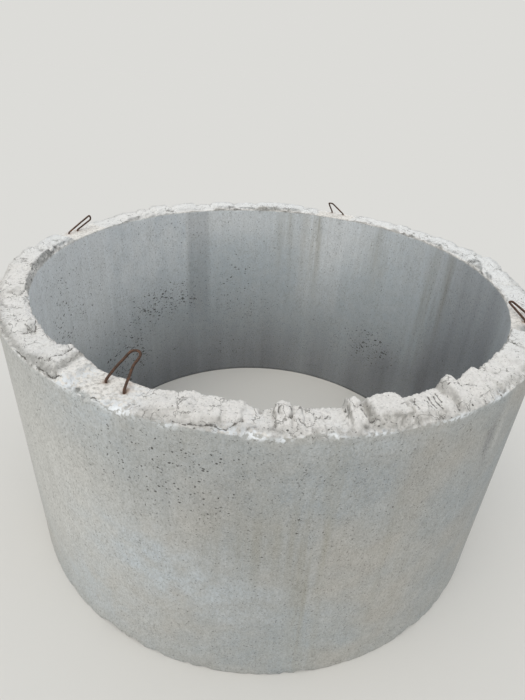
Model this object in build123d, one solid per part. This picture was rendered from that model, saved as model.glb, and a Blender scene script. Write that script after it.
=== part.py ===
"""Precast concrete well ring with its four cast-in lifting loops.

Millimetres, with +Z up. The ring stands on its lower face, the origin is on its axis at that face, and
-Y is its front. Angles are in degrees, anticlockwise from +X as seen from above.
"""
from build123d import *

import math
import os
from dataclasses import dataclass

# Ring
BORE_RADIUS = 750.0
WALL = 90.0
CAST_HEIGHT = 880.0  # lower face to the smooth level that the concrete was cast to
OUTER_RADIUS = BORE_RADIUS + WALL
WALL_MIDDLE = BORE_RADIUS + WALL / 2
FOOT_ARRIS = 4.0  # worn outer edge of the lower face

# Crown
INNER_DRAFT = 2.0  # least step from the bore's face to the top of an overfill patch
RAMP_LIP = 1.5  # broken lip where a ramp starts

# Lifting loops
BAR_DIAMETER = 6.5  # hot-rolled wire rod
EMBEDDED_DEPTH = 220.0  # straight legs below the cast level
FOOT_CLEARANCE = 1.0  # between the cast level and a bar that is folded flat at its foot
TIP_ROUNDNESS = 0.92  # share of the width of a loop's tip that its two arcs take


@dataclass(frozen=True)
class Overfill:
    """One patch of concrete left standing above the cast level.

    It runs from start to end in degrees. Its inner edge is set back from the bore, its outer edge slopes
    down to the outer face, and its ends are ramps of the given lengths along the wall.
    """

    start: float
    end: float
    rise: float
    inner_setback: float
    outer_slope: float
    start_ramp: float
    end_ramp: float


@dataclass(frozen=True)
class Chip:
    """A piece broken out of an arris, as deep and as wide as given."""

    angle: float
    radius: float
    height: float
    width: float
    depth: float


@dataclass(frozen=True)
class LiftingLoop:
    """A hairpin of round bar. Its feet and tip are (angle, distance outwards from the wall's middle)."""

    name: str
    first_foot: tuple
    second_foot: tuple
    tip: tuple
    tip_rise: float
    tip_width: float


OVERFILL = [
    Overfill(2, 8, 14, 8, 12, 40, 6),
    Overfill(8, 17.5, 27, 14, 12, 40, 40),
    Overfill(17.5, 27, 15, 16, 10, 8, 30),
    Overfill(27, 36, 14, 5, 14, 10, 30),
    Overfill(36, 44, 9, 4, 14, 8, 20),
    Overfill(44, 49, 13, 8, 12, 16, 16),
    Overfill(49, 62.5, 8, 6, 12, 20, 12),
    Overfill(75.5, 80, 9, 6, 12, 10, 10),
    Overfill(80, 97, 18, 6, 12, 20, 20),
    Overfill(97, 104, 12, 8, 10, 8, 10),
    Overfill(104, 112, 17, 10, 10, 14, 14),
    Overfill(112, 116.5, 11, 20, 10, 6, 8),
    Overfill(116.5, 125.5, 17, 22, 10, 12, 14),
    Overfill(125.5, 133, 21, 24, 10, 26, 14),
    Overfill(133, 137.5, 15, 16, 10, 6, 8),
    Overfill(137.5, 145, 12, 8, 12, 6, 20),
    Overfill(145, 153, 7, 8, 14, 8, 12),
    Overfill(166.5, 177, 18, 8, 14, 12, 10),
    Overfill(177, 192, 27, 6, 16, 30, 14),
    Overfill(192, 203.5, 23, 3, 34, 6, 24),
    Overfill(205.5, 216.5, 9, 12, 16, 6, 8),
    Overfill(216.5, 221.2, 27, 2, 62, 18, 14),
    Overfill(221.2, 227.8, 6, 6, 20, 6, 6),
    Overfill(227.8, 240, 33, 3, 26, 84, 80),
    Overfill(234.4, 239.6, 17, 4, 24, 4, 5),
    Overfill(252.4, 262, 26, 2, 24, 84, 40),
    Overfill(258, 264.5, 18, 3, 20, 4, 6),
    Overfill(264, 267.6, 15, 2, 46, 4, 12),
    Overfill(267.2, 271.8, 6, 3, 20, 4, 6),
    Overfill(271.8, 274.5, 22, 2, 64, 3, 3),
    Overfill(274.5, 276.3, 10, 4, 40, 3, 6),
    Overfill(276.3, 282.7, 4, 6, 18, 6, 6),
    Overfill(282.7, 285.4, 27, 3, 56, 3, 12),
    Overfill(285.4, 292.6, 28, 3, 22, 16, 14),
    Overfill(292.6, 300.6, 12, 6, 18, 8, 12),
    Overfill(300.8, 304.6, 31, 2, 66, 10, 16),
    Overfill(304.6, 310.5, 26, 2, 60, 70, 6),
    Overfill(310.5, 318, 13, 3, 20, 4, 20),
    Overfill(318, 326, 22, 4, 22, 30, 14),
    Overfill(326, 333.4, 18, 3, 24, 8, 8),
    Overfill(348, 360, 7, 5, 12, 20, 20),
]

CHIPS = [
    Chip(241, OUTER_RADIUS, 0, 95, 18),
    Chip(247, OUTER_RADIUS, 0, 60, 13),
    Chip(252, OUTER_RADIUS, 0, 46, 9),
    Chip(281, OUTER_RADIUS, 0, 54, 10),
    Chip(306, OUTER_RADIUS, 0, 70, 12),
    Chip(38, OUTER_RADIUS, 0, 66, 12),
    Chip(129, OUTER_RADIUS, 0, 84, 15),
    Chip(243, OUTER_RADIUS, CAST_HEIGHT, 80, 13),
    Chip(250, OUTER_RADIUS, CAST_HEIGHT, 58, 10),
    Chip(269, OUTER_RADIUS, CAST_HEIGHT, 64, 11),
    Chip(278, OUTER_RADIUS, CAST_HEIGHT, 90, 14),
    Chip(340, OUTER_RADIUS, CAST_HEIGHT, 76, 12),
    Chip(269.5, BORE_RADIUS, CAST_HEIGHT, 52, 9),
    Chip(205, BORE_RADIUS, CAST_HEIGHT, 40, 10),
]

LOOPS = [
    LiftingLoop("lifting_loop_front_left", (243.9, -18), (248.2, -7), (246.7, -79), 56, 22),
    LiftingLoop("lifting_loop_back_left", (162.7, 20), (159.6, 16), (155, 4), 40, 22),
    LiftingLoop("lifting_loop_back_right", (71.1, 30), (67.2, 20), (70.8, -40), 60, 20),
    LiftingLoop("lifting_loop_right", (341.3, 19), (340.2, -6), (346.6, -45), 21, 16),
]


def point_at(angle: float, radius: float, height: float) -> Vector:
    """The point at an angle, a distance from the axis and a height."""
    turn = math.radians(angle)
    return Vector(radius * math.cos(turn), radius * math.sin(turn), height)


def along_wall(angle: float) -> Vector:
    """The level direction along the wall, anticlockwise."""
    turn = math.radians(angle)
    return Vector(-math.sin(turn), math.cos(turn), 0)


def turned(section: list, start: float, sweep: float) -> Part:
    """A closed section of (radius, height) points turned about the ring's axis."""
    corners = [(radius, 0, height) for radius, height in section]
    face = make_face(Polyline(*corners, close=True).edges())
    return revolve(face.rotate(Axis.Z, start), axis=Axis.Z, revolution_arc=sweep)


def wall_ring() -> Part:
    """The cast wall, with a worn outer edge at its lower face."""
    section = [
        (BORE_RADIUS, 0),
        (OUTER_RADIUS - FOOT_ARRIS, 0),
        (OUTER_RADIUS, FOOT_ARRIS),
        (OUTER_RADIUS, CAST_HEIGHT),
        (BORE_RADIUS, CAST_HEIGHT),
    ]
    return turned(section, 0, 360)


def ramp_plane(angle: float, length: float, rise: float, side: int) -> Plane:
    """The plane of a ramp up into a patch. Side is 1 at the patch's start and -1 at its end."""
    origin = point_at(angle, WALL_MIDDLE, CAST_HEIGHT + RAMP_LIP)
    outward_and_up = Vector(0, 0, length) - along_wall(angle) * (side * rise)
    return Plane(origin=origin, z_dir=outward_and_up)


def overfill_patch(patch: Overfill) -> Part:
    """One patch of overfill, with its ends cut to ramps."""
    top = CAST_HEIGHT + patch.rise
    section = [
        (BORE_RADIUS, CAST_HEIGHT),
        (OUTER_RADIUS, CAST_HEIGHT),
        (OUTER_RADIUS - patch.outer_slope, top),
        (BORE_RADIUS + INNER_DRAFT + patch.inner_setback, top),
    ]
    body = turned(section, patch.start, patch.end - patch.start)
    for angle, length, side in ((patch.start, patch.start_ramp, 1), (patch.end, patch.end_ramp, -1)):
        body = split(body, bisect_by=ramp_plane(angle, length, patch.rise, side), keep=Keep.BOTTOM)
    return body


def chip_cutter(chip: Chip) -> Part:
    """The ball that leaves a shell-shaped break of the chip's width and depth on an arris."""
    ball_radius = (chip.width**2 / 4 + chip.depth**2) / (2 * chip.depth)
    outwards = 1 if chip.radius > WALL_MIDDLE else -1
    upwards = 1 if chip.height > CAST_HEIGHT / 2 else -1
    offset = (ball_radius - chip.depth) / math.sqrt(2)
    centre = point_at(chip.angle, chip.radius + outwards * offset, chip.height + upwards * offset)
    return Pos(centre) * Sphere(ball_radius)


def loop_route(loop: LiftingLoop) -> Wire:
    """The centre line of a lifting loop, from the buried end of one leg to that of the other."""
    feet = []
    for angle, offset in (loop.first_foot, loop.second_foot):
        feet.append(point_at(angle, WALL_MIDDLE + offset, CAST_HEIGHT + BAR_DIAMETER / 2 + FOOT_CLEARANCE))
    angle, offset = loop.tip
    tip = point_at(angle, WALL_MIDDLE + offset, CAST_HEIGHT + loop.tip_rise)
    spread = feet[1] - feet[0]
    lean = (tip - (feet[0] + feet[1]) * 0.5).normalized()
    across = (spread - lean * spread.dot(lean)).normalized()
    corners = [tip - across * (loop.tip_width / 2), tip + across * (loop.tip_width / 2)]
    ends = [Vector(foot.X, foot.Y, CAST_HEIGHT - EMBEDDED_DEPTH) for foot in feet]
    points = [ends[0], feet[0], *corners, feet[1], ends[1]]
    tip_radii = [tip_bend_radius(feet[0], *corners), tip_bend_radius(feet[1], *reversed(corners))]
    return FilletPolyline(*points, radius=[0, *tip_radii, 0]).wire()


def tip_bend_radius(foot: Vector, near_corner: Vector, far_corner: Vector) -> float:
    """The radius of the arc that takes one half of a loop's tip."""
    turn = math.radians((near_corner - foot).get_angle(far_corner - near_corner))
    half_width = (far_corner - near_corner).length / 2
    return TIP_ROUNDNESS * half_width / math.tan(turn / 2)


def lifting_loop(loop: LiftingLoop) -> Part:
    """A lifting loop, as one bent bar."""
    route = loop_route(loop)
    section = Plane(route @ 0, z_dir=route % 0) * Circle(BAR_DIAMETER / 2)
    bar = sweep(section, path=route, transition=Transition.RIGHT)
    true_volume = math.pi * BAR_DIAMETER**2 / 4 * route.length
    print(f"{loop.name}: {route.length:.0f} mm of bar, volume {bar.volume / true_volume:.4f} of its length's")
    return bar


def concrete_ring(loops: dict) -> Part:
    """The ring with its crown, its chipped edges and the sockets that the loops' legs are cast into."""
    ring = wall_ring()
    ring += [overfill_patch(patch) for patch in OVERFILL]
    ring -= [chip_cutter(chip) for chip in CHIPS]
    for bar in loops.values():
        ring -= bar
    return ring


def main() -> None:
    """Build every piece and write one STEP file for each."""
    loops = {loop.name: lifting_loop(loop) for loop in LOOPS}
    pieces = {"concrete_ring": concrete_ring(loops)}
    pieces.update(loops)
    os.makedirs("parts", exist_ok=True)
    for name, piece in pieces.items():
        export_step(piece, f"parts/{name}.step")
        print(f"{name}: {len(piece.solids())} solid, {piece.volume / 1e6:.3f} dm3")


if __name__ == "__main__":
    main()
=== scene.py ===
"""Weathered precast concrete well ring, standing free in plain studio light.

The ring is one casting: a machine-made wall with a mould-smooth skin, and a crown that was filled by hand
and left rough. Its four lifting loops are hairpins of plain round bar, rusted brown. The crown's main forms
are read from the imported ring, and this file adds the broken texture, the cracks, the air holes and the
finishes. Sizes are in millimetres where a name ends in _mm, and angles are degrees anticlockwise from +X.
"""

import logging
import math
import random
from dataclasses import dataclass
from enum import Enum

import bmesh
import bpy
import numpy as np
from mathutils import Matrix, Vector, noise
from mathutils.bvhtree import BVHTree

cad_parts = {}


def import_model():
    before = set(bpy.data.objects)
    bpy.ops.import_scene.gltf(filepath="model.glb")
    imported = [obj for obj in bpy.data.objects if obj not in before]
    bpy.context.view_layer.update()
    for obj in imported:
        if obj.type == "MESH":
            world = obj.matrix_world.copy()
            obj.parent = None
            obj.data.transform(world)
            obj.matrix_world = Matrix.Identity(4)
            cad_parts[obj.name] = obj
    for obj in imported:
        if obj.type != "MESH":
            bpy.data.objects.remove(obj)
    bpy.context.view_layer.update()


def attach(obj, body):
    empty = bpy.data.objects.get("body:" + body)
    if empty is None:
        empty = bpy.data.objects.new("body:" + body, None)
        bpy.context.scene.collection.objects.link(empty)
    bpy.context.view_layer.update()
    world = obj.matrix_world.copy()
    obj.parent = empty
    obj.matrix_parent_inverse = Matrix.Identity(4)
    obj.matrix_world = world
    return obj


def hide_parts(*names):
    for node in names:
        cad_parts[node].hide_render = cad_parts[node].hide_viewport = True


LOG = logging.getLogger("well_ring")
MM = 0.001
WALL_MIDDLE_MM = 795.0
CAST_HEIGHT_MM = 880.0
MM_PER_DEGREE = math.radians(1) * WALL_MIDDLE_MM  # along the middle of the wall
DOWN = Vector((0, 0, -1))
Tree = bpy.types.NodeTree
Socket = bpy.types.NodeSocket


def linear(colour: str) -> tuple:
    """Turn an sRGB hex colour into linear RGBA.

    Args:
        colour: six hex digits, with or without a leading hash.

    Returns:
        Red, green, blue and alpha as Blender's sockets take them.
    """
    digits = colour.lstrip("#")
    channels = []
    for start in (0, 2, 4):
        value = int(digits[start:start + 2], 16) / 255
        channels.append(value / 12.92 if value <= 0.04045 else ((value + 0.055) / 1.055) ** 2.4)
    return (*channels, 1.0)


def per(size_mm: float) -> float:
    """The scale of a texture whose features are about size_mm across."""
    return 1 / (size_mm * MM)


def add_node(tree: Tree, kind: str, inputs: dict | None = None, **settings) -> bpy.types.Node:
    """Add a shader node with its settings and links.

    Args:
        tree: the material's node tree.
        kind: the node's type name.
        inputs: for each input name or index, the socket to link or the value to set.
        settings: the node's own properties.

    Returns:
        The new node.
    """
    node = tree.nodes.new(kind)
    for name, value in settings.items():
        setattr(node, name, value)
    for key, value in (inputs or {}).items():
        if isinstance(value, Socket):
            tree.links.new(value, node.inputs[key])
        else:
            node.inputs[key].default_value = value
    return node


def cloud(tree: Tree, place: Socket, size_mm: float, detail: float = 3.0, low: float = 0.35,
          high: float = 0.65) -> Socket:
    """Soft uneven patches.

    Args:
        tree: the material's node tree.
        place: the coordinates that carry them.
        size_mm: their size.
        detail: how many finer layers they have.
        low: the noise that becomes 0.
        high: the noise that becomes 1.

    Returns:
        The patches, from 0 to 1.
    """
    texture = add_node(tree, "ShaderNodeTexNoise", {"Vector": place, "Scale": per(size_mm), "Detail": detail})
    spread = add_node(tree, "ShaderNodeMapRange", {
        "Value": texture.outputs[0], "From Min": low, "From Max": high,
    })
    return spread.outputs[0]


def coat(tree: Tree, ground: str | Socket, *layers: tuple) -> Socket:
    """Lay colours over one another.

    Args:
        tree: the material's node tree.
        ground: the lowest colour, a hex string or a socket.
        layers: for each layer from the ground up, its colour and then the shares, sockets or numbers, whose
            product says how strongly it covers.

    Returns:
        The colour on top.
    """
    top = ground
    for colour, strength, *shares in layers:
        for share in shares:
            strength = add_node(tree, "ShaderNodeMath", {0: strength, 1: share}, operation="MULTIPLY").outputs[0]
        below, above = (linear(c) if isinstance(c, str) else c for c in (top, colour))
        # inputs 6 and 7 and output 2 are the ones for colours
        mixed = add_node(tree, "ShaderNodeMix", {0: strength, 6: below, 7: above}, data_type="RGBA")
        top = mixed.outputs[2]
    return top


def start_material(name: str) -> tuple:
    """Make a material, and return it with its emptied node tree."""
    material = bpy.data.materials.new(name)
    material.use_nodes = True
    material.node_tree.nodes.clear()
    return material, material.node_tree


def end_material(tree: Tree, inputs: dict) -> None:
    """Close a material's tree with a principled shader that has those inputs."""
    shader = add_node(tree, "ShaderNodeBsdfPrincipled", inputs)
    add_node(tree, "ShaderNodeOutputMaterial", {"Surface": shader.outputs["BSDF"]})


def add_object(name: str, data: bpy.types.ID) -> bpy.types.Object:
    """Put a new object with that data into the scene, at the origin."""
    made = bpy.data.objects.new(name, data)
    bpy.context.scene.collection.objects.link(made)
    return made


def add_mesh(name: str, mesh: bmesh.types.BMesh, material: bpy.types.Material) -> bpy.types.Object:
    """Turn a finished bmesh into an object of one material, and free it."""
    data = bpy.data.meshes.new(name)
    mesh.to_mesh(data)
    mesh.free()
    data.materials.append(material)
    return add_object(name, data)


def smooth_step(low: float, high: float, value: np.ndarray) -> np.ndarray:
    """Ramp smoothly from 0 at low to 1 at high."""
    share = np.clip((value - low) / (high - low), 0, 1)
    return share * share * (3 - 2 * share)


def turn_between(angle: np.ndarray, middle: float) -> np.ndarray:
    """The signed turn in degrees from middle to angle, between -180 and 180."""
    return (angle - middle + 180) % 360 - 180


def ragged(places: np.ndarray, size_mm: float, octaves: int = 3) -> np.ndarray:
    """Fractal noise between about -1 and 1 at each of an array of places in metres."""
    scale = per(size_mm)
    return np.array([noise.fractal(Vector(place) * scale, 1.0, 2.1, octaves) for place in places])


class Mask(Enum):
    """The painted masks, kept as float attributes of the ring's vertices."""

    BORE = "bore"  # 1 on the bore's face, 0 on the outer face
    RAW = "raw"  # struck or broken concrete and the smoothed pockets, not mould skin
    SLOPE_SHADE = "slope_shade"  # painted shade on the crown's steep faces and its broken outer rim
    TROWELLED = "trowelled"  # the smoothed pockets round the loops' feet
    CAVITY_SHADE = "cavity_shade"  # painted shade in crevices, hollows and the floors of sunk air holes
    CRACK = "crack"  # 1 on a crack's line, falling to 0 a little way off
    PALE_AND_LIT = "pale_and_lit"  # paler places, some washed by rain and lime, and painted light high in the bore and beside the plate print's edge
    BLOOM = "bloom"  # bluish lime bloom
    POWDER = "powder"  # white lime powder under the crown
    STAIN = "stain"  # ochre run-off streaks
    DAMP_AND_SHADE = "damp_and_shade"  # darker, purplish concrete, and painted shade low in the bore and beside the plate print's edge
    RUST = "rust"  # rust washed out round the bars
    PITTING = "pitting"  # density of the small air holes


@dataclass(frozen=True)
class Blot:
    """A soft patch on one face of the wall.

    Args:
        angle: its middle, in degrees.
        height_mm: its middle, above the lower face.
        width_deg: half its width.
        tall_mm: half its height.
        strength: its value in the middle.
        inside: whether it is on the bore's face.
    """

    angle: float
    height_mm: float
    width_deg: float
    tall_mm: float
    strength: float
    inside: bool = False

    def value(self, angle: np.ndarray, height: np.ndarray, bore: np.ndarray) -> np.ndarray:
        """The blot's strength at points given by their angle, height in metres and bore mask."""
        across = turn_between(angle, self.angle) / self.width_deg
        along = (height / MM - self.height_mm) / self.tall_mm
        side = bore if self.inside else 1 - bore
        return self.strength * np.exp(-(across**2 + along**2)) * side


@dataclass(frozen=True)
class Panel:
    """The print of one sheet of the bore's mould: a band with straight upright edges.

    Args:
        start: the angle of its first edge.
        end: the angle of its second edge.
        low_mm: the height at which it fades out.
        strength: its value.
        edge_deg: how softly its edges fade.
        fade_mm: how softly its lower end fades.
    """

    start: float
    end: float
    low_mm: float
    strength: float
    edge_deg: float = 0.8
    fade_mm: float = 120

    def value(self, angle: np.ndarray, height: np.ndarray, bore: np.ndarray) -> np.ndarray:
        """The panel's strength at points given by their angle, height in metres and bore mask."""
        begun = smooth_step(-self.edge_deg, self.edge_deg, turn_between(angle, self.start))
        ended = smooth_step(-self.edge_deg, self.edge_deg, turn_between(angle, self.end))
        upper = smooth_step(self.low_mm - self.fade_mm, self.low_mm + self.fade_mm, height / MM)
        return self.strength * np.clip(begun - ended, 0, 1) * upper * bore


@dataclass(frozen=True)
class Lump:
    """A stone or a clod on the crown, a hollow where rise_mm is negative, or the spread of a stain.

    Args:
        angle: its middle, in degrees.
        radius_mm: distance of its middle from the ring's axis.
        size_mm: half its width.
        rise_mm: how far it stands up, or the stain's strength.
        steep: 1 is a soft mound, and more is a flatter top with steeper sides.
    """

    angle: float
    radius_mm: float
    size_mm: float
    rise_mm: float
    steep: float = 2.0

    def value(self, turn: np.ndarray, radius: np.ndarray) -> np.ndarray:
        """Its rise at points given by their angle and radius in millimetres."""
        distance = np.hypot(turn_between(turn, self.angle) * MM_PER_DEGREE, radius - self.radius_mm)
        return self.rise_mm / (1 + (distance / self.size_mm) ** (2 * self.steep))


@dataclass(frozen=True)
class Cleft:
    """A crack or a band on the crown, along a line of (angle, radius in millimetres) points.

    Args:
        line: its points, seen from above.
        width_mm: half its width.
        depth_mm: its depth.
    """

    line: tuple
    width_mm: float = 4.4
    depth_mm: float = 2.0

    def distance(self, turn: np.ndarray, radius: np.ndarray) -> np.ndarray:
        """Measure how far points are from the line.

        Args:
            turn: the points' angles.
            radius: their radii in millimetres.

        Returns:
            Their distances in millimetres.
        """
        nearest = np.full(turn.shape, np.inf)
        for (angle_a, radius_a), (angle_b, radius_b) in zip(self.line, self.line[1:]):
            run = np.array([(angle_b - angle_a) * MM_PER_DEGREE, radius_b - radius_a])
            length = max(float(np.hypot(*run)), 1e-6)
            across = turn_between(turn, angle_a) * MM_PER_DEGREE
            outwards = radius - radius_a
            share = np.clip((across * run[0] + outwards * run[1]) / length**2, 0, 1)
            nearest = np.minimum(nearest, np.hypot(across - share * run[0], outwards - share * run[1]))
        return nearest


def ring_crack(angle: float, radius_mm: float, size_mm: float, start: float, end: float) -> tuple:
    """The line of a crack round a stone, as (angle, radius) points between two bearings.

    Args:
        angle: the stone's middle, in degrees.
        radius_mm: its distance from the ring's axis.
        size_mm: the crack's distance from the stone's middle.
        start: the crack's first bearing, in degrees.
        end: its last bearing.

    Returns:
        The points.
    """
    points = []
    for bearing in np.linspace(start, end, 13):
        turn = math.radians(bearing)
        across, outwards = size_mm * math.cos(turn), size_mm * math.sin(turn)
        points.append((angle + across / MM_PER_DEGREE, radius_mm + outwards))
    return tuple(points)


def comb(start: float, end: float, count: int) -> tuple:
    """Slits from the bore's edge outwards, where the mix was dragged over the mould.

    Args:
        start: the first slit's angle, in degrees.
        end: the last slit's angle.
        count: how many there are.

    Returns:
        The slits, as clefts.
    """
    slits = []
    for index, angle in enumerate(np.linspace(start, end, count)):
        lean = math.sin(index * 2.4)  # each slit leans its own way
        line = ((angle, 751), (angle + 0.3 + 0.3 * lean, 762), (angle + 0.8 + 0.4 * lean, 772 + 7 * lean))
        slits.append(Cleft(line, 4.0, 2.5))
    return tuple(slits)


@dataclass(frozen=True)
class Concrete:
    """Weathered cement concrete: mould skin on the walls and sandy broken paste on the crown.

    Cast concrete reflects light evenly and dully, so its roughness is high and its specular low. The skin
    is mottled from the mould oil, streaked by rain, and peppered with air holes.
    """

    warm_skin: str = "#AAA7A0"
    cool_skin: str = "#9CA4A8"
    pale_and_lit_skin: str = "#CECECA"
    grain_dark: str = "#77776F"
    grain_light: str = "#DCDCD7"
    bore_skin: str = "#BAC5CC"
    bore_pale_and_lit: str = "#EAEEF0"
    raw_light: str = "#FBFAF7"
    raw_mid: str = "#ECEAE5"
    raw_cool: str = "#F4F9FB"
    raw_shade: str = "#ABA9A3"
    raw_dark: str = "#57544E"
    pocket_light: str = "#F6F4EF"
    pocket_grey: str = "#BDBBB5"
    bloom: str = "#C2CCD3"
    powder: str = "#EDF2F5"
    stain: str = "#8F8870"
    damp_and_shade: str = "#5E6067"
    rust: str = "#AD8768"
    # painted shade inside air holes and tiny pits
    pit_shade: str = "#45433F"
    roughness: float = 0.93
    specular: float = 0.2
    sand_mm: float = 3.2  # real sand is finer; drawn as coarse as it needs to show
    grit_mm: float = 6.0
    mottle_mm: float = 230.0
    small_mottle_mm: float = 42.0
    streak_mm: float = 26.0
    air_hole_mm: float = 9.0  # spacing of the small air holes
    bore_hole_mm: float = 17.0  # spacing of the bore's large air holes
    hole_share: float = 0.7  # the largest hole's radius, as a share of that spacing
    luck_bare: float = 0.94  # a cell whose random number is above this has a hole where nothing is pitted
    luck_pitted: float = 0.42  # the same where the pitting is full
    luck_large: float = 0.16  # how much less the large holes need
    crack_net_mm: float = 36.0  # size of the clods between the fine cracks
    sand_relief_mm: float = 0.45
    crumb_mm: float = 8.0
    crumb_relief_mm: float = 9.0
    groove_mm: float = 2.0  # depth of a drawn crack's groove

    def material(self) -> bpy.types.Material:
        """Build the node material."""
        material, tree = start_material("weathered_cast_concrete")
        place = add_node(tree, "ShaderNodeTexCoord").outputs["Object"]
        masks = {}
        for mask in Mask:
            masks[mask] = add_node(tree, "ShaderNodeAttribute", attribute_name=mask.value).outputs["Fac"]
        holes = self.air_holes(tree, place, masks)
        cracks = self.cracks(tree, place, masks)
        raw = self.crown_colour(tree, place, masks)
        colour = coat(
            tree, self.skin_colour(tree, place, masks),
            (raw, masks[Mask.RAW]),
            (self.powder, masks[Mask.POWDER], cloud(tree, place, 10, 6.0, 0.43, 0.53)),
            (self.rust, masks[Mask.RUST], cloud(tree, place, 14, 4.0, 0.3, 0.65)),
            # painted shade inside the air holes
            (self.pit_shade, holes, 0.84),
            (self.raw_dark, cracks, 0.8),
            # painted shade in crevices, hollows and the floors of sunk holes
            (self.raw_dark, masks[Mask.CAVITY_SHADE], 0.8),
        )
        end_material(tree, {
            "Base Color": colour, "Normal": self.relief(tree, place, masks), "Roughness": self.roughness,
            "Specular IOR Level": self.specular,
        })
        return material

    @staticmethod
    def bent(tree: Tree, place: Socket, size_mm: float, share: float, tall: float = 1.0) -> Socket:
        """Bend coordinates out of line, so that what they carry is uneven.

        Args:
            tree: the material's node tree.
            place: the coordinates.
            size_mm: the size of the bends.
            share: how far the bends reach.
            tall: how tall a pattern on them is for its width.

        Returns:
            The bent coordinates.
        """
        wobble = add_node(tree, "ShaderNodeTexNoise", {"Vector": place, "Scale": per(size_mm), "Detail": 3.0})
        # inputs 4 and 5 and output 1 are the ones for vectors
        mixed = add_node(tree, "ShaderNodeMix", {0: share, 4: place, 5: wobble.outputs["Color"]},
                         data_type="VECTOR")
        stretched = add_node(tree, "ShaderNodeMapping", {"Vector": mixed.outputs[1], "Scale": (1, 1, 1 / tall)})
        return stretched.outputs[0]

    def spots(self, tree: Tree, place: Socket, spacing_mm: float, least: Socket) -> Socket:
        """Round spots of uneven size.

        Args:
            tree: the material's node tree.
            place: the coordinates that carry them.
            spacing_mm: the size of the cells that may hold one spot each.
            least: the random number above which a cell has a spot, which is larger the further above it is.

        Returns:
            1 inside a spot.
        """
        cells = add_node(tree, "ShaderNodeTexVoronoi", {"Vector": place, "Scale": per(spacing_mm)})
        luck = add_node(tree, "ShaderNodeSeparateColor", {0: cells.outputs["Color"]}).outputs[0]
        spare = add_node(tree, "ShaderNodeMath", {0: luck, 1: least}, operation="SUBTRACT").outputs[0]
        radius = add_node(tree, "ShaderNodeMath", {0: spare, 1: self.hole_share}, operation="MULTIPLY").outputs[0]
        inside = add_node(tree, "ShaderNodeMath", {0: radius, 1: cells.outputs["Distance"]},
                          operation="SUBTRACT").outputs[0]
        return add_node(tree, "ShaderNodeMapRange", {
            "Value": inside, "From Min": 0.0, "From Max": 0.08,
        }).outputs[0]

    def air_holes(self, tree: Tree, place: Socket, masks: dict) -> Socket:
        """Draw the air holes, denser where the pitting mask is high.

        Trapped air flattens against an upright mould, so the bore's large holes are wider than they are tall.

        Args:
            tree: the material's node tree.
            place: the object's coordinates.
            masks: the socket of each painted mask.

        Returns:
            1 inside a hole.
        """
        least = add_node(tree, "ShaderNodeMapRange", {
            "Value": masks[Mask.PITTING], "From Min": 0.0, "From Max": 1.0, "To Min": self.luck_bare,
            "To Max": self.luck_pitted,
        }).outputs[0]
        small = self.spots(tree, self.bent(tree, place, 7, 0.006, 0.8), self.air_hole_mm, least)
        less = add_node(tree, "ShaderNodeMath", {0: least, 1: self.luck_large}, operation="SUBTRACT").outputs[0]
        large = self.spots(tree, self.bent(tree, place, 12, 0.014, 0.45), self.bore_hole_mm, less)
        inner = add_node(tree, "ShaderNodeMath", {0: large, 1: masks[Mask.BORE]}, operation="MULTIPLY").outputs[0]
        return add_node(tree, "ShaderNodeMath", {0: small, 1: inner}, operation="MAXIMUM").outputs[0]

    def cracks(self, tree: Tree, place: Socket, masks: dict) -> Socket:
        """Draw the crown's cracks: the ones painted on the mesh, and a broken net of finer ones.

        Args:
            tree: the material's node tree.
            place: the object's coordinates.
            masks: the socket of each painted mask.

        Returns:
            1 in a crack.
        """
        net = add_node(tree, "ShaderNodeTexVoronoi", {
            "Vector": self.bent(tree, place, 14, 0.022), "Scale": per(self.crack_net_mm),
        }, feature="DISTANCE_TO_EDGE")
        line = add_node(tree, "ShaderNodeMapRange", {
            "Value": net.outputs["Distance"], "From Min": 0.034, "From Max": 0.016,
        }).outputs[0]
        broken = add_node(tree, "ShaderNodeMath", {0: masks[Mask.RAW], 1: masks[Mask.TROWELLED]},
                          operation="SUBTRACT").outputs[0]
        fine = line
        for share in (cloud(tree, place, 48, 2.0, 0.5, 0.56), broken, 0.7):
            fine = add_node(tree, "ShaderNodeMath", {0: fine, 1: share}, operation="MULTIPLY").outputs[0]
        wobble = add_node(tree, "ShaderNodeTexNoise", {"Vector": place, "Scale": per(7), "Detail": 2.0})
        uneven = add_node(tree, "ShaderNodeMath", {0: wobble.outputs[0], 1: 0.6}, operation="MULTIPLY").outputs[0]
        near = add_node(tree, "ShaderNodeMath", {0: masks[Mask.CRACK], 1: uneven}, operation="ADD").outputs[0]
        drawn = add_node(tree, "ShaderNodeMapRange", {
            "Value": near, "From Min": 1.04, "From Max": 1.18,
        }).outputs[0]
        return add_node(tree, "ShaderNodeMath", {0: fine, 1: drawn}, operation="MAXIMUM").outputs[0]

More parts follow.
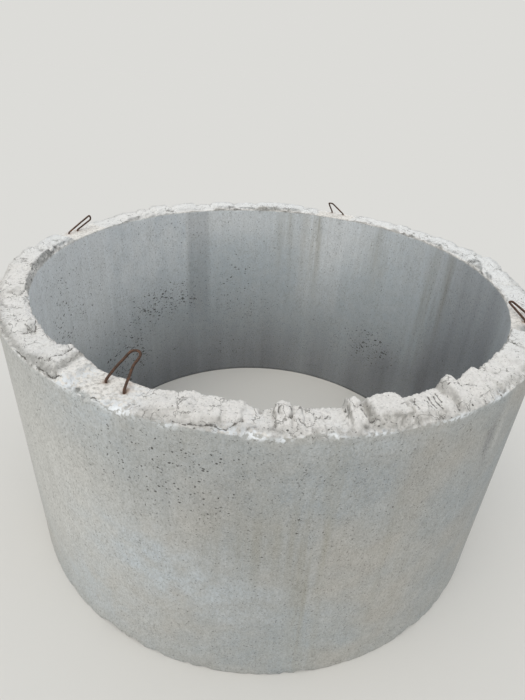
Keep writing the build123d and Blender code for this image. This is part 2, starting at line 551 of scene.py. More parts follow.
    def skin_colour(self, tree: Tree, place: Socket, masks: dict) -> Socket:
        """Layer the mould skin and its weathering.

        Args:
            tree: the material's node tree.
            place: the object's coordinates.
            masks: the socket of each painted mask.

        Returns:
            The walls' colour.
        """
        upright = add_node(tree, "ShaderNodeMapping", {"Vector": place, "Scale": (1.0, 1.0, 0.05)}).outputs[0]
        brushed = add_node(tree, "ShaderNodeMapping", {"Vector": place, "Scale": (1.0, 1.0, 0.6)}).outputs[0]
        streaks = cloud(tree, upright, self.streak_mm, 3.0, 0.38, 0.68)
        # the pale colour, which also carries painted light
        lightened = coat(tree, self.pale_and_lit_skin, (self.bore_pale_and_lit, masks[Mask.BORE]))
        calm = add_node(tree, "ShaderNodeMapRange", {
            "Value": masks[Mask.BORE], "To Min": 0.32, "To Max": 0.18,
        }).outputs[0]  # the grain is fainter in the bore
        curl = add_node(tree, "ShaderNodeTexNoise", {"Vector": brushed, "Scale": per(16), "Detail": 3.0})
        ridge = add_node(tree, "ShaderNodeMath", {0: curl.outputs[0], 1: 0.5}, operation="SUBTRACT").outputs[0]
        ridge = add_node(tree, "ShaderNodeMath", {0: ridge}, operation="ABSOLUTE").outputs[0]
        hair = add_node(tree, "ShaderNodeMapRange", {
            "Value": ridge, "From Min": 0.034, "From Max": 0.01,
        }).outputs[0]
        return coat(
            tree, self.warm_skin,
            (self.cool_skin, cloud(tree, place, self.mottle_mm, 4.0)),
            (self.bore_skin, masks[Mask.BORE]),
            (lightened, masks[Mask.PALE_AND_LIT]),
            (self.grain_light, cloud(tree, place, self.small_mottle_mm, 5.0, 0.3, 0.7), 0.22),
            (self.grain_dark, streaks, 0.08),
            # white streaks on the bore's pale places, some of which are painted light
            (self.powder, masks[Mask.BORE], masks[Mask.PALE_AND_LIT], cloud(tree, upright, 17, 4.0, 0.5, 0.72), 0.6),
            (self.bloom, masks[Mask.BLOOM], cloud(tree, place, 60, 5.0, 0.25, 0.7)),
            (self.stain, masks[Mask.STAIN], streaks),
            # darker damp concrete, and painted shade low in the bore and beside the plate print
            (self.damp_and_shade, masks[Mask.DAMP_AND_SHADE], cloud(tree, upright, 120, 4.0, -0.7, 0.75)),
            (self.grain_dark, cloud(tree, brushed, self.grit_mm, 4.0, 0.36, 0.64), calm),
            (self.grain_light, cloud(tree, place, self.sand_mm, 3.0, 0.3, 0.7), calm),
            # painted shade of tiny pits in the skin
            (self.pit_shade, cloud(tree, place, 5.2, 2.0, 0.62, 0.69), 0.5),
            (self.grain_dark, hair, cloud(tree, place, 70, 3.0, 0.48, 0.66), 0.3),
        )

    def crown_colour(self, tree: Tree, place: Socket, masks: dict) -> Socket:
        """Layer the raw crown: pale tops, painted shade on its steep faces and broken rim, smoothed pockets, and
        dark grains that are partly painted shade of its crumbs and pits.

        Args:
            tree: the material's node tree.
            place: the object's coordinates.
            masks: the socket of each painted mask.

        Returns:
            The crown's colour.
        """
        # shaded: the painted shade for steep faces and the broken rim, tinted bluish by the bloom
        shaded = coat(tree, self.raw_shade, (self.raw_mid, cloud(tree, place, 12, 4.0, 0.42, 0.8)),
                      (self.bloom, masks[Mask.BLOOM], 0.4))
        smooth = coat(tree, self.pocket_light, (self.pocket_grey, cloud(tree, place, 9, 6.0, 0.47, 0.72)))
        return coat(
            tree, self.raw_light,
            (self.raw_mid, cloud(tree, place, 34, 4.0), 0.15),
            (self.raw_cool, masks[Mask.BLOOM], 0.6),
            # painted shade on the steep faces and the broken rim
            (shaded, masks[Mask.SLOPE_SHADE], 0.84),
            (smooth, masks[Mask.TROWELLED]),
            # greyer sand, partly painted shade of the crumbs
            (self.raw_shade, cloud(tree, place, 7, 5.0, 0.52, 0.66), 0.24),
            # dark grains, partly painted shadow in the small pits between clods
            (self.raw_dark, cloud(tree, place, 5, 3.0, 0.635, 0.69), 0.55),
        )

    def relief(self, tree: Tree, place: Socket, masks: dict) -> Socket:
        """Add the relief that is too fine for the mesh: sand grains, drawn cracks and the crown's crumbs.

        Args:
            tree: the material's node tree.
            place: the object's coordinates.
            masks: the socket of each painted mask.

        Returns:
            The bumped normal.
        """
        sand = add_node(tree, "ShaderNodeTexNoise", {"Vector": place, "Scale": per(self.sand_mm), "Detail": 2.0})
        crumbs = add_node(tree, "ShaderNodeTexNoise", {
            "Vector": place, "Scale": per(self.crumb_mm), "Detail": 5.0, "Roughness": 0.7,
        })
        # the crumbs swing about 0, so that no step shows where they end
        crumbs = add_node(tree, "ShaderNodeMath", {0: crumbs.outputs[0], 1: 0.5}, operation="SUBTRACT").outputs[0]
        smooth = add_node(tree, "ShaderNodeMath", {0: masks[Mask.TROWELLED], 1: 0.3},
                          operation="MULTIPLY").outputs[0]
        broken = add_node(tree, "ShaderNodeMath", {0: masks[Mask.RAW], 1: smooth},
                          operation="SUBTRACT").outputs[0]
        crumbs = add_node(tree, "ShaderNodeMath", {0: crumbs, 1: broken}, operation="MULTIPLY").outputs[0]
        groove = add_node(tree, "ShaderNodeMapRange", {
            "Value": masks[Mask.CRACK], "From Min": 0.6, "From Max": 0.9,
        }).outputs[0]
        height = 0.0
        for form, size_mm in ((sand.outputs[0], self.sand_relief_mm), (crumbs, self.crumb_relief_mm),
                              (groove, -self.groove_mm)):
            part = add_node(tree, "ShaderNodeMath", {0: form, 1: size_mm * MM}, operation="MULTIPLY").outputs[0]
            height = add_node(tree, "ShaderNodeMath", {0: height, 1: part}, operation="ADD").outputs[0]
        return add_node(tree, "ShaderNodeBump", {"Height": height, "Strength": 1.0, "Distance": 1.0}).outputs[0]


@dataclass(frozen=True)
class RustedBar:
    """Hot-rolled plain bar left in the rain: a dark brown scale with powdery orange where it flakes.

    Rust is an oxide, so it is no metal to the light, and it is very dull.
    """

    scale: str = "#43362E"
    rust: str = "#654838"
    bright_rust: str = "#8F6040"
    roughness: float = 0.9
    flake_mm: float = 5.0
    flake_rise_mm: float = 0.8
    patch_mm: float = 24.0

    def material(self) -> bpy.types.Material:
        """Build the node material."""
        material, tree = start_material("rusted_round_bar")
        place = add_node(tree, "ShaderNodeTexCoord").outputs["Object"]
        flakes = add_node(tree, "ShaderNodeTexNoise", {
            "Vector": place, "Scale": per(self.flake_mm), "Detail": 5.0, "Roughness": 0.65,
        }).outputs[0]
        flaked = add_node(tree, "ShaderNodeMapRange", {
            "Value": flakes, "From Min": 0.42, "From Max": 0.64,
        }).outputs[0]
        patches = cloud(tree, place, self.patch_mm, 3.0, 0.6, 0.72)
        bump = add_node(tree, "ShaderNodeBump", {
            "Height": flakes, "Strength": 0.8, "Distance": self.flake_rise_mm * MM,
        })
        end_material(tree, {
            "Base Color": coat(tree, self.scale, (self.rust, flaked), (self.bright_rust, patches)),
            "Normal": bump.outputs[0], "Roughness": self.roughness,
        })
        return material


@dataclass
class CastRing:
    """The concrete casting, as one closed mesh made of four joined bands."""

    node: str = "concrete_ring"
    bore_radius_mm: float = 750.0
    outer_radius_mm: float = 839.94
    crown_foot_mm: float = 846.0  # where the finely meshed crown meets the walls
    crown_low_mm: float = 864.0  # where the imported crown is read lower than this, it is taken as level
    brim_mm: float = 0.6  # how far in from both faces the crown is read
    arcs: tuple = ((200, 222, 110), (222, 316, 590), (316, 345, 130), (345, 560, 440))  # the crown's columns
    crown_rows: int = 50
    crown_reads: int = 44
    wall_columns: int = 360
    wall_rows: int = 18
    wall_margin_mm: float = 7.0  # how far the wall's band stops short of its neighbours
    stray_mm: float = 9.0  # how far the wall's points stray up and down, so that air holes keep no grid
    stray_share: float = 0.18  # how far they stray sideways, as a share of a column
    wave_mm: float = 1.6  # depth of the mould's waves
    waves_per_m: float = 4.0
    wave_start_mm: float = 30.0  # the height up to which there are none
    wave_fade_mm: float = 80.0  # and how soon they reach their depth
    toe_outer_mm: float = 64.0
    toe_inner_mm: float = 26.0
    toe_columns: int = 380
    toe_rows: tuple = (13, 4, 2)  # on the outer side, underneath and on the bore's side
    arris_mm: float = 4.0
    break_mm: float = 9.0  # depth of the small breaks of the outer arris
    break_wide_mm: float = 26.0
    break_tall_mm: float = 24.0
    warp_mm: float = 6.0  # how far the forms' straight edges are broken out of line
    crack_reach_mm: float = 7.0  # how far from its line a crack is still felt
    plate_edge_deg: float = 312.5  # upright edge of the plate print on the outer face
    plate_low_mm: float = 692.0  # its lower edge
    plate_depth_mm: float = 5.0
    plate_soft_mm: float = 8.0  # how softly both edges fall off
    plate_fade_deg: tuple = (293, 302)  # where it fades out away from the upright edge
    plate_fade_mm: tuple = (775, 825)  # and away from the lower edge
    swell_mm: float = 70.0
    clod_mm: float = 24.0
    crumb_mm: float = 9.0
    pebble_mm: float = 15.0
    split_mm: float = 40.0
    flake_mm: tuple = (34.0, 5.5)  # how wide and how tall the flakes of a steep face are
    crevice_mm: float = 3.4  # how deep a hollow starts to get painted shade
    crevice_full_mm: float = 4.0  # and how much deeper it is full of it
    hole_area: float = 2.4e-4  # the least face in square metres that can hold a sunk air hole
    hole_share_bore: float = 0.55  # of such faces in full pitting
    hole_share_outer: float = 0.24
    hole_stray_share: float = 0.005  # of such faces without pitting
    hole_rim_mm: float = 3.0  # what is left of a face round its hole
    hole_lip_mm: float = 0.8
    hole_room_mm: tuple = (4.9, 13.0)  # how far a hole may reach sideways and up or down in its face
    hole_widest_mm: float = 4.8
    hole_height_mm: tuple = (1.0, 2.3)  # half the height of the smallest, and how much the largest has more
    seed: int = 15
    pockets: tuple = ((237.6, 250.3), (153.2, 166.3), (63.6, 75.4), (333.6, 347.6))  # smoothed arcs
    lumps: tuple = (
        Lump(273.4, 785, 13, 4, 3.0),
        Lump(273.2, 761, 10, 3, 3.0),
        Lump(275.4, 757, 7, 5),
        Lump(284.2, 768, 12, 4, 3.0),
        Lump(294.3, 795, 14, 3, 3.0),
        Lump(262.0, 770, 26, 3),
        Lump(233.5, 765, 30, 3),
        Lump(302.3, 765, 24, 4),
        Lump(290.0, 775, 22, 3),
        Lump(246.0, 752, 16, 2),
        Lump(260.5, 812, 24, 6, 3.0),
        Lump(264.2, 806, 18, 5, 3.0),
        Lump(255.4, 798, 20, 4, 3.0),
        Lump(288.5, 806, 20, 5, 3.0),
        Lump(302.5, 812, 22, 5, 3.0),
        Lump(307.5, 800, 20, 4, 3.0),
        Lump(204.0, 806, 26, 5, 3.0),
        Lump(337.0, 800, 34, -4),
        Lump(196.0, 800, 40, 4),
        Lump(244.0, 777, 6, -3),
        Lump(248.2, 788, 6, -3),
        Lump(241.6, 829, 6, -5, 3.0),
        Lump(240.5, 834, 4, -4, 3.0),
        Lump(247.7, 831, 5, -3),
        Lump(259.8, 805, 4, -3),
        Lump(269.8, 773, 5, -4),
        Lump(269.1, 819, 5, -4),
        Lump(271.7, 819, 5, -4),
        Lump(284.7, 826, 5, -5),
        Lump(294.0, 776, 6, -4, 3.0),
        Lump(313.4, 790, 5, -5, 3.0),
        Lump(178.9, 761, 8, -9),
        Lump(174.7, 760, 8, -8),
        Lump(180.3, 774, 6, -7),
    )
    clefts: tuple = (
        Cleft(((258.0, 838), (261.3, 837), (263.5, 832), (265.3, 834), (266.4, 818), (267.4, 806)), 4.4, 5.0),
        Cleft(ring_crack(273.4, 785, 15, 150, 420)),
        Cleft(ring_crack(278.9, 774, 15, 20, 200)),
        Cleft(ring_crack(276.6, 793, 18, 60, 190)),
        Cleft(((282.6, 764), (283.0, 776), (284.2, 783), (285.4, 776)), 4.4, 5.0),
        Cleft(((284.6, 790), (285.3, 801), (285.8, 816), (286.6, 826)), 4.4, 4.0),
        Cleft(((296.1, 781), (295.9, 812))),
        Cleft(((297.0, 776), (296.5, 814))),
        Cleft(((298.0, 780), (297.4, 820))),
        Cleft(((298.9, 772), (298.4, 800))),
        Cleft(((294.9, 770), (293.6, 790), (294.0, 806))),
        Cleft(((300.3, 756), (300.1, 780), (300.1, 802), (300.7, 815), (299.9, 834)), 4.4, 4.0),
        Cleft(((304.0, 764), (306.3, 776), (306.6, 796))),
        Cleft(((301.4, 772), (304.8, 790))),
        Cleft(((311.9, 750), (312.4, 762), (313.5, 790)), 4.4, 4.0),
        Cleft(((204.1, 826), (204.0, 782), (205.2, 756)), 4.4, 3.0),
        Cleft(((210.0, 818), (210.7, 766)), 4.4, 3.0),
        Cleft(((213.2, 812), (213.8, 780))),
        Cleft(((225.0, 837), (227.0, 835), (229.3, 838))),
        Cleft(((242.4, 831), (243.8, 835), (245.4, 833), (246.6, 837)), 4.4, 3.0),
        Cleft(((232.3, 838), (236.9, 836), (238.4, 828))),
        Cleft(((234.6, 752), (235.0, 790), (234.4, 822)), 4.4, 3.0),
        Cleft(((219.2, 752), (221.4, 770), (221.0, 800))),
        Cleft(((326.4, 760), (326.8, 800), (326.2, 834)), 4.4, 3.0),
        Cleft(((318.0, 836), (322.0, 830), (325.0, 834)), 4.4, 3.0),
        Cleft(((8.2, 756), (8.0, 800), (9.0, 836)), 5.0, 4.0),
        Cleft(((112.0, 760), (112.6, 800), (112.2, 832)), 5.0, 4.0),
        Cleft(((133.2, 756), (133.0, 800), (133.9, 836)), 5.0, 4.0),
    ) + comb(185, 204, 13)
    # places where the steep faces' painted shade is taken back
    shade_lifts: tuple = (
        Lump(218.0, 770, 60, 0.9),
        Lump(259.0, 782, 60, 0.8),
        Lump(304.5, 785, 50, 0.75),
        Lump(193.0, 758, 75, 0.6),
        Lump(173.0, 758, 60, 0.6),
    )
    # faces that get painted shade
    shaded_faces: tuple = (
        Cleft(((236.2, 752), (236.8, 834)), 12),
        Cleft(((206, 838), (238, 836)), 22),
    )
    rusts: tuple = (
        Lump(243.9, 777, 8, 0.7),
        Lump(248.1, 783, 10, 0.75),
        Lump(247.6, 760, 7, 0.5),
        Lump(162.6, 815, 9, 0.7),
        Lump(159.7, 811, 9, 0.7),
        Lump(71.1, 825, 9, 0.7),
        Lump(67.2, 815, 9, 0.7),
        Lump(341.3, 814, 10, 0.7),
        Lump(340.2, 789, 10, 0.7),
    )
    pales_and_lights: tuple = (
        Blot(222, 560, 24, 520, 1.0),
        Blot(240, 420, 14, 300, 0.4),
        # painted highlight beside the plate print's upright edge
        Blot(313.6, 735, 1.1, 65, 0.7),
        # painted light high on the bore's left side
        Blot(176, 760, 28, 300, 1.4, True),
        Blot(165, 480, 20, 200, 0.45, True),
        Blot(139, 240, 12, 120, 0.4, True),
        Blot(138, 800, 16, 130, 0.75, True),
        Blot(108, 830, 18, 70, 0.5, True),
        Blot(69, 790, 12, 160, 0.8, True),
        Panel(64, 80, 420, 0.35),
        Panel(122, 151, 480, 0.4),
    )
    blooms: tuple = (
        Blot(250, 440, 12, 110, 1.0),
        Blot(262, 380, 14, 90, 0.55),
        Blot(240, 800, 9, 60, 0.5),
        Blot(246, 856, 8, 24, 0.8),
        Blot(240, 160, 14, 130, 0.75),
        Blot(285, 850, 14, 22, 0.6),
        Blot(268, 300, 10, 80, 0.45),
        Blot(229, 900, 9, 40, 0.4),
        Blot(212, 900, 8, 40, 0.3),
        Blot(340, 900, 22, 50, 0.8),
        Blot(20, 900, 30, 50, 0.9),
        Blot(90, 900, 50, 50, 1.0),
        Blot(165, 900, 18, 50, 0.9),
        Panel(122.5, 134, 400, 0.6, 0.5, 15),
        Panel(134, 153, 430, 0.4, 2.0, 70),
        Panel(60, 82, 480, 0.3, 2.0, 120),
    )
    powders: tuple = (
        Blot(239.4, 882, 1.9, 14, 0.85),
        Blot(249.3, 872, 2.8, 9, 1.0),
        Blot(257, 872, 1.6, 8, 0.8),
        Blot(265.5, 880, 3.0, 5, 1.0),
        Blot(269.4, 873, 1.7, 7, 1.0),
        Blot(273.0, 871, 1.2, 7, 1.0),
        Blot(280.5, 876, 1.5, 5, 0.8),
        Blot(286.5, 876, 2.6, 5, 0.9),
        Blot(299, 872, 3.4, 6, 0.9),
        Blot(309, 876, 2.4, 6, 0.8),
    )
    stains: tuple = (
        Blot(75, 800, 4, 240, 0.6, True),
        Blot(28, 640, 3, 330, 0.6, True),
        Blot(22, 700, 2.5, 300, 0.5, True),
        Blot(86, 820, 3, 160, 0.4, True),
        Blot(50, 760, 5, 160, 0.3, True),
        Blot(280, 380, 3.4, 460, 0.6),
        Blot(272, 560, 9, 120, 0.4),
        Blot(294, 480, 5, 260, 0.3),
    )
    damps_and_shades: tuple = (
        Blot(2, 460, 26, 720, 0.85, True),
        Blot(330, 300, 34, 500, 0.6, True),
        Blot(36, 200, 12, 130, 0.25, True),
        Panel(114, 122, 380, 0.3),
        Blot(272, 470, 15, 420, 0.16),
        Blot(262, 700, 14, 110, 0.12),
        Blot(316, 560, 18, 500, 0.24),
        Blot(289, 760, 10, 160, 0.18),
        # painted shade beside the plate print's upright edge
        Blot(311.5, 735, 1.1, 60, 0.7),
    )
    pittings: tuple = (
        Blot(252, 740, 15, 120, 0.85),
        Blot(262, 640, 12, 100, 0.5),
        Blot(270, 800, 20, 50, 0.55),
        Blot(132, 460, 14, 85, 1.5, True),
        Blot(150, 220, 13, 130, 1.4, True),
        Blot(104, 560, 9, 110, 0.65, True),
        Blot(98, 380, 9, 60, 0.6, True),
        Blot(104, 150, 8, 50, 0.6, True),
        Blot(48, 290, 11, 80, 1.4, True),
        Blot(175, 600, 18, 240, 0.6, True),
        Blot(128, 780, 14, 60, 0.5, True),
        Blot(243, 40, 8, 40, 0.8),
    )

    def build(self, material: bpy.types.Material) -> bpy.types.Object:
        """Build the ring's mesh and dress it.

        Args:
            material: the concrete's material.

        Returns:
            The finished piece.
        """
        self.cast_tree = self.packed_surface()
        self.chance = random.Random(self.seed)
        noise.seed_set(self.seed)  # without a seed, the vector noise is another one in each run
        mesh = bmesh.new()
        self.layers = {mask: mesh.verts.layers.float.new(mask.value) for mask in Mask}
        self.add_crown(mesh)
        self.add_wall(mesh, outside=True)
        self.add_toe(mesh)
        self.add_wall(mesh, outside=False)
        self.join_bands(mesh)
        bmesh.ops.recalc_face_normals(mesh, faces=mesh.faces[:])
        mesh.normal_update()
        self.paint(mesh)
        self.sink_air_holes(mesh)
        for face in mesh.faces:
            face.smooth = True
        return add_mesh("concrete_well_ring", mesh, material)

    def packed_surface(self) -> BVHTree:
        """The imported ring's surface, to read its main forms from."""
        mesh = bmesh.new()
        mesh.from_mesh(bpy.data.objects[self.node].data)
        tree = BVHTree.FromBMesh(mesh)
        mesh.free()
        return tree

    def add_band(self, mesh: bmesh.types.BMesh, angles: np.ndarray, sections: np.ndarray,
                 shades: dict | None = None) -> None:
        """Add one band of the ring, as a grid wrapped round the axis.

        Args:
            mesh: the mesh to add to.
            angles: the angle in degrees of each column, or of each column at each row's edge.
            sections: for each column and each row's edge, its radius and height in metres.
            shades: for a mask, its value at each column and each row's edge.
        """
        columns, rows = len(angles), sections.shape[1] - 1
        made = bmesh.ops.create_grid(mesh, x_segments=columns, y_segments=rows, size=0.5)
        seam = []
        turns = np.radians(angles if angles.ndim == 2 else np.broadcast_to(angles[:, None], sections.shape[:2]))
        for vert in made["verts"]:
            column = round((vert.co.x + 0.5) * columns)
            row = round((vert.co.y + 0.5) * rows)
            if column in (0, columns):
                seam.append(vert)
            column %= columns
            radius, height = sections[column, row]
            turn = turns[column, row]
            vert.co = (radius * math.cos(turn), radius * math.sin(turn), height)
            for mask, values in (shades or {}).items():
                vert[self.layers[mask]] = float(values[column, row])
        bmesh.ops.remove_doubles(mesh, verts=seam, dist=1e-6)

    def crown_angles(self) -> np.ndarray:
        """The angles of the crown's columns, which stand closer on its detailed side."""
        return np.concatenate([np.linspace(*arc, endpoint=False) for arc in self.arcs]) % 360

    def crown_heights(self, angles: np.ndarray, radii: np.ndarray) -> np.ndarray:
        """Read the crown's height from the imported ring, its straight edges broken out of line.

        Args:
            angles: the columns' angles.
            radii: the radii to read at, in metres, from the outer one inwards.

        Returns:
            An array of heights for each column and radius, in metres.
        """
        heights = np.empty((len(angles), len(radii)))
        least = self.crown_low_mm * MM
        above = 1.2  # metres, over everything
        for column, angle in enumerate(angles):
            turn = math.radians(angle)
            across = Vector((math.cos(turn), math.sin(turn), 0))
            along = Vector((-across.y, across.x, 0))
            for index, radius in enumerate(radii):
                place = across * radius
                bend = noise.noise_vector(place * per(38)) + noise.noise_vector(place * per(11)) * 0.6
                shifted = place + along * (bend.x * self.warp_mm * MM)
                new_radius = shifted.length + bend.y * self.warp_mm * 0.8 * MM
                new_radius = min(max(new_radius, radii[-1]), radii[0])
                start = shifted.normalized() * new_radius
                start.z = above
                hit = self.cast_tree.ray_cast(start, DOWN)[0]
                height = hit.z if hit else 0
                heights[column, index] = height if height > least else CAST_HEIGHT_MM * MM
        return heights

    def add_crown(self, mesh: bmesh.types.BMesh) -> None:
        """Add the crown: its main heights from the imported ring, softened and then broken up.

        Args:
            mesh: the mesh to add to.
        """
        angles = self.crown_angles()
        radii = np.linspace(self.outer_radius_mm - self.brim_mm, self.bore_radius_mm + self.brim_mm,
                            self.crown_reads) * MM
        heights = self.crown_heights(angles, radii)
        heights = (np.roll(heights, 1, 0) + heights * 2 + np.roll(heights, -1, 0)) / 4
        sections = np.empty((len(angles), self.crown_rows + 1, 2))
        foot = self.crown_foot_mm * MM
        outer, bore = self.outer_radius_mm * MM, self.bore_radius_mm * MM
        for column in range(len(angles)):
            path = [(outer, foot), (outer, heights[column, 0])]
            path += list(zip(radii, heights[column]))
            path += [(bore, heights[column, -1]), (bore, foot)]
            sections[column] = self.evenly(np.array(path), self.crown_rows)
        shades = self.break_up(sections, angles)
        self.add_band(mesh, angles, sections, shades)

    @staticmethod
    def evenly(path: np.ndarray, rows: int) -> np.ndarray:
        """Step evenly along a path.

        Args:
            path: its (radius, height) points.
            rows: the number of steps.

        Returns:
            The points at the steps' ends.
        """
        steps = np.hypot(*np.diff(path, axis=0).T)
        run = np.concatenate([[0], np.cumsum(steps)])
        wanted = np.linspace(0, run[-1], rows + 1)
        return np.stack([np.interp(wanted, run, path[:, 0]), np.interp(wanted, run, path[:, 1])], axis=1)

    def rawness(self, places: np.ndarray, angle: np.ndarray, height: np.ndarray) -> np.ndarray:
        """How far each point is struck or broken concrete and not mould skin or a smooth pocket.

        Args:
            places: the points, in metres.
            angle: their angles.
            height: their heights in metres.

        Returns:
            1 on raw concrete and 0 on skin.
        """
        edge = ragged(places, 20)
        raw = smooth_step(-5.0, 0.5, height / MM - CAST_HEIGHT_MM + 4.5 * edge)
        uneven = angle + 0.5 * edge
        for start, end in self.pockets:
            begun = smooth_step(-0.5, 0.5, turn_between(uneven, start))
            ended = smooth_step(-0.5, 0.5, turn_between(uneven, end))
            raw = raw * (1 - np.clip(begun - ended, 0, 1))
        return raw

    def break_up(self, sections: np.ndarray, angles: np.ndarray) -> dict:
        """Push the crown's points along their normals to make clods, stones, cracks and voids.

        Args:
            sections: for each column and each row's edge, its radius and height, which are changed.
            angles: the angle of each column.

        Returns:
            The values at each point of the painted shade in hollows and of the crack mask.
        """
        along = np.zeros_like(sections)
        along[:, 1:-1] = sections[:, 2:] - sections[:, :-2]
        length = np.maximum(np.hypot(along[..., 0], along[..., 1]), 1e-9)
        normal = np.stack([along[..., 1], -along[..., 0]], axis=-1) / length[..., None]
        radius, height = sections[..., 0], sections[..., 1]
        turn = np.broadcast_to(angles[:, None], radius.shape)
        bearing = np.radians(turn)
        places = np.stack([radius * np.cos(bearing), radius * np.sin(bearing), height], axis=-1)
        raw = self.rawness(places.reshape(-1, 3), turn.ravel(), height.ravel()).reshape(radius.shape)
        push = np.zeros(radius.shape)
        for column in range(len(angles)):
            for row in range(1, self.crown_rows):
                push[column, row] = self.crumble(Vector(places[column, row]), raw[column, row],
                                                 normal[column, row, 1])
        upper = smooth_step(CAST_HEIGHT_MM - 12, CAST_HEIGHT_MM - 3, height / MM)
        # painted shade in hollows, the darker the deeper
        cavity_shade = np.clip((-push - self.crevice_mm) / self.crevice_full_mm, 0, 1)
        crack = np.zeros(radius.shape)
        for lump in self.lumps:
            value = lump.value(turn, radius / MM) * upper
            push += value
            if lump.rise_mm < 0:
                # painted shade in the hollows that the lumps make
                cavity_shade = np.maximum(cavity_shade, np.clip(-value / 7, 0, 1))
        for cleft in self.clefts:
            distance = cleft.distance(turn, radius / MM)
            push -= cleft.depth_mm * np.clip(1 - distance / cleft.width_mm, 0, 1) * upper
            crack = np.maximum(crack, np.clip(1 - distance / self.crack_reach_mm, 0, 1) * upper)
        near_foot = smooth_step(0, 14, height / MM - self.crown_foot_mm)
        sections += normal * (push * near_foot * MM)[..., None]
        # the crown may hang 1 mm over the bore, and stays inside the outer face
        innermost, outermost = (self.bore_radius_mm - 1) * MM, (self.outer_radius_mm - 0.05) * MM
        sections[..., 0] = np.clip(sections[..., 0], innermost, outermost)
        return {Mask.CAVITY_SHADE: cavity_shade * near_foot, Mask.CRACK: crack}

    def crumble(self, point: Vector, raw: float, facing_up: float) -> float:
        """How far the crown's surface stands out at a point, in millimetres.

        The vectors that are added to some places only keep one pattern from lying on another.

        Args:
            point: the point, in metres.
            raw: how raw the concrete is there.
            facing_up: 1 on a level face and 0 on an upright one.

        Returns:
            The push along the surface's normal.
        """
        waves = noise.fractal(point * per(self.swell_mm), 1.0, 2.0, 3)
        if raw < 0.02:
            fine = noise.fractal(point * per(11), 0.8, 2.1, 3)
            on_top = point.z > (CAST_HEIGHT_MM - 6) * MM
            return 0.4 * noise.fractal(point * per(24), 1.0, 2.1, 4) + (0.7 * waves + fine if on_top else 0)
        clods = noise.fractal(point * per(self.clod_mm) + Vector((7, 3, 1)), 1.0, 2.1, 3)
        crumbs = noise.fractal(point * per(self.crumb_mm) + Vector((2, 9, 4)), 0.8, 2.1, 3)
        distances, centres = noise.voronoi(point * per(self.pebble_mm))
        bold = noise.cell(centres[0] * 3.7) > 0.4  # some pebbles stand out, and the others hardly show
        pebble = max(0.0, 0.5 - distances[0]) * (7.0 if bold else 2.0)
        area = noise.noise(point * per(90) + Vector((5, 1, 8)))
        bent = point + noise.noise_vector(point * per(24)) * (7 * MM)
        far = noise.voronoi(bent * per(self.split_mm))[0]
        split = max(0.0, 1 - (far[1] - far[0]) / 0.2) * smooth_step(-0.05, 0.25, area)
        wide, tall = (per(size) for size in self.flake_mm)
        flakes = noise.noise(Vector((point.x * wide, point.y * wide, point.z * tall)))
        steep = 1 - max(0.0, facing_up)
        push = 2.4 * waves + (2.0 + 2.4 * steep) * clods + (2.1 + 1.5 * steep) * crumbs + pebble
        push += 2.6 * steep * flakes - 2.4 * split - 1.2
        return push * raw + 0.5 * waves * (1 - raw)

    def add_wall(self, mesh: bmesh.types.BMesh, outside: bool) -> None:
        """Add one face of the wall, with the slight waves of its mould.

        Args:
            mesh: the mesh to add to.
            outside: whether it is the outer face.
        """
        radius = (self.outer_radius_mm if outside else self.bore_radius_mm) * MM
        low = (self.toe_outer_mm if outside else self.toe_inner_mm) * MM
        margin = self.wall_margin_mm * MM
        heights = np.linspace(low + margin, self.crown_foot_mm * MM - margin, self.wall_rows + 1)
        if outside:
            heights = heights[::-1]
        step = 360 / self.wall_columns
        angles = np.repeat(np.arange(self.wall_columns)[:, None] * step, self.wall_rows + 1, axis=1)
        sections = np.empty((self.wall_columns, self.wall_rows + 1, 2))
        for column in range(self.wall_columns):
            for row, height in enumerate(heights):
                if 0 < row < self.wall_rows:
                    height += self.chance.uniform(-self.stray_mm, self.stray_mm) * MM
                    angles[column, row] += self.chance.uniform(-self.stray_share, self.stray_share) * step
                sections[column, row] = (self.waved(radius, angles[column, row], height, outside), height)
        self.add_band(mesh, angles, sections)

    def waved(self, radius: float, angle: float, height: float, outside: bool) -> float:
        """Give the wall its mould's slight waves, which fade out at its ends, and the plate's print.

        Args:
            radius: the plain wall's radius, in metres.
            angle: the place's angle.
            height: its height in metres.
            outside: whether it is on the outer face.

        Returns:
            The radius there, in metres.
        """
        turn, scale, fade = math.radians(angle), self.waves_per_m, self.wave_fade_mm * MM
        point = Vector((math.cos(turn) * scale, math.sin(turn) * scale, height * scale))
        below = min(1.0, max(0.0, (height - self.wave_start_mm * MM) / fade))
        above = min(1.0, max(0.0, (self.crown_foot_mm * MM - height) / fade))
        wave = (0.5 + 0.5 * noise.noise(point)) * self.wave_mm * MM * (below * above)
        return radius - wave - self.plate_print(angle, height / MM) * MM if outside else radius + wave

    def plate_print(self, angle: float, height_mm: float) -> float:
        """How deep the corner of a plate in the outer mould has printed into the wall.

        Args:
            angle: the place's angle.
            height_mm: its height.

        Returns:
            The depth in millimetres.
        """
        inwards = (self.plate_edge_deg - angle) * math.radians(1) * self.outer_radius_mm
        upwards = height_mm - self.plate_low_mm
        within = float(smooth_step(-self.plate_soft_mm, self.plate_soft_mm, min(inwards, upwards)))
        kept = smooth_step(*self.plate_fade_deg, angle) * (1 - smooth_step(*self.plate_fade_mm, height_mm))
        return self.plate_depth_mm * within * float(kept)

